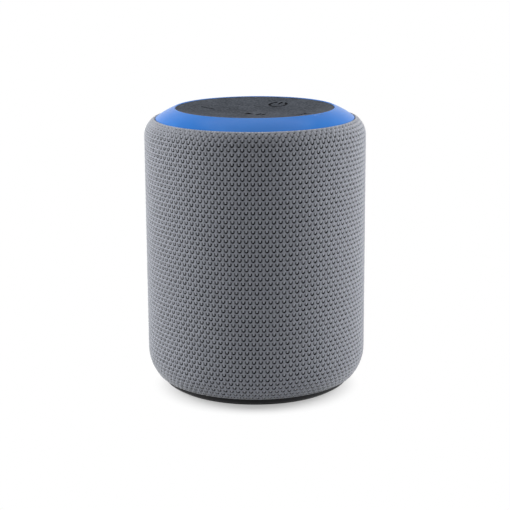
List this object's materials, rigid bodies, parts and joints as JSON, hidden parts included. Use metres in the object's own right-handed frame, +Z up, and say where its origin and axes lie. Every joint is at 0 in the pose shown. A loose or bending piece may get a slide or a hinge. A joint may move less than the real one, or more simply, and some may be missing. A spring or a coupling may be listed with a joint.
{
  "type": "smart speaker",
  "caption": "Compact cylindrical table speaker with a knitted grey cover, a glossy blue top ring and a dished dark pad of touch keys.",
  "frame": {"origin": "centre of the foot's underside, on the floor", "axes": "+Z up along the cylinder's axis, -Y towards the front, +Y towards the sockets, +X towards the volume-up key"},
  "size_m": [0.08, 0.08, 0.1023],
  "materials": {
    "foot_rubber": "matt moulded rubber",
    "black_abs": "fine spark-eroded texture",
    "zinc_steel": "zinc plated",
    "knit_grey": "spacer knit, two greys",
    "seal_foam": "closed-cell foam",
    "basket_steel": "black stoved paint on pressed steel",
    "bright_steel": "zinc plated",
    "ferrite": "sintered ferrite, ground faces",
    "coil_former_foil": "plain foil",
    "copper_wire": null,
    "cone_paper": "pressed black paper",
    "surround_rubber": "smooth moulded rubber",
    "spider_cloth": "resin-stiffened cloth",
    "tag_brass": "tinned brass on a fibre strip",
    "cast_plate": "stamped plate",
    "cell_sleeve": "shrunk plastic sleeve",
    "strap_plastic": "moulded",
    "lead_pvc": "extruded sleeve",
    "board_laminate": "solder resist on glass laminate",
    "tinned_steel": "tin plated",
    "component_black": "moulded epoxy",
    "connector_nylon": "natural nylon",
    "panel_black": "fine texture",
    "ribbon_film": "polyimide film",
    "ring_blue": "gloss lacquer",
    "pad_rubber": "soft-touch, slightly dished",
    "key_rubber": "soft-touch with sunk symbols",
    "plunger_nylon": "moulded",
    "led_lens": "diffusing moulding"
  },
  "bodies": {
    "shell": {"rubber_foot": "foot_rubber", "base_cover": "black_abs", "base_screws": "zinc_steel", "lower_frame": "black_abs", "frame_screws": "zinc_steel", "fabric_sleeve": "knit_grey", "grille_sleeve": "black_abs", "cabinet_body": "black_abs", "cabinet_seal": "seal_foam", "cabinet_lid": "black_abs", "lid_screws": "zinc_steel", "driver_gasket": "seal_foam", "driver_basket": "basket_steel", "driver_screws": "zinc_steel", "driver_top_plate": "bright_steel", "driver_magnet": "ferrite", "driver_yoke": "bright_steel", "driver_surround": "surround_rubber", "driver_spider": "spider_cloth", "driver_terminals": "tag_brass", "passive_frame": "black_abs", "passive_surround": "surround_rubber", "battery_cell": "cell_sleeve", "battery_cradle": "black_abs", "battery_straps": "strap_plastic", "battery_leads": "lead_pvc", "main_board": "board_laminate", "processor_shield": "tinned_steel", "board_components": "component_black", "board_connectors": "connector_nylon", "usb_socket": "tinned_steel", "audio_socket": "component_black", "port_panel": "panel_black", "ribbon_cable": "ribbon_film", "speaker_leads": "lead_pvc", "top_carrier": "black_abs", "carrier_screws": "zinc_steel", "top_ring": "ring_blue", "top_pad": "pad_rubber", "key_board": "board_laminate", "key_board_screws": "zinc_steel", "switch_bodies": "component_black", "microphone_capsule": "tinned_steel", "status_led": "led_lens"},
    "volume_down_key": {"key_volume_down": "key_rubber", "plunger_volume_down": "plunger_nylon"},
    "volume_up_key": {"key_volume_up": "key_rubber", "plunger_volume_up": "plunger_nylon"},
    "power_key": {"key_power": "key_rubber", "plunger_power": "plunger_nylon"},
    "microphone_key": {"key_microphone": "key_rubber", "plunger_microphone": "plunger_nylon"},
    "play_pause_key": {"key_play_pause": "key_rubber", "plunger_play_pause": "plunger_nylon"},
    "driver_diaphragm": {"driver_cone": "cone_paper", "driver_dust_cap": "cone_paper", "coil_former": "coil_former_foil", "coil_winding": "copper_wire"},
    "passive_diaphragm": {"passive_plate": "cast_plate", "passive_weight": "bright_steel"}
  },
  "joints": [
    {"name": "volume_down_press", "type": "slide", "parent": "shell", "child": "volume_down_key", "axis": [0, 0, -1], "range_m": [0, 0.0004], "stiffness_N_per_m": 4000},
    {"name": "volume_up_press", "type": "slide", "parent": "shell", "child": "volume_up_key", "axis": [0, 0, -1], "range_m": [0, 0.0004], "stiffness_N_per_m": 4000},
    {"name": "power_press", "type": "slide", "parent": "shell", "child": "power_key", "axis": [0, 0, -1], "range_m": [0, 0.0004], "stiffness_N_per_m": 4000},
    {"name": "microphone_press", "type": "slide", "parent": "shell", "child": "microphone_key", "axis": [0, 0, -1], "range_m": [0, 0.0004], "stiffness_N_per_m": 4000},
    {"name": "play_pause_press", "type": "slide", "parent": "shell", "child": "play_pause_key", "axis": [0, 0, -1], "range_m": [0, 0.0004], "stiffness_N_per_m": 4000},
    {"name": "driver_stroke", "type": "slide", "parent": "shell", "child": "driver_diaphragm", "axis": [0, 0, 1], "range_m": [-0.0015, 0.0015], "stiffness_N_per_m": 900, "deforming": ["driver_surround", "driver_spider"]},
    {"name": "passive_stroke", "type": "slide", "parent": "shell", "child": "passive_diaphragm", "axis": [0, 0, 1], "range_m": [-0.0025, 0.0025], "stiffness_N_per_m": 500, "deforming": ["passive_surround"]}
  ]
}
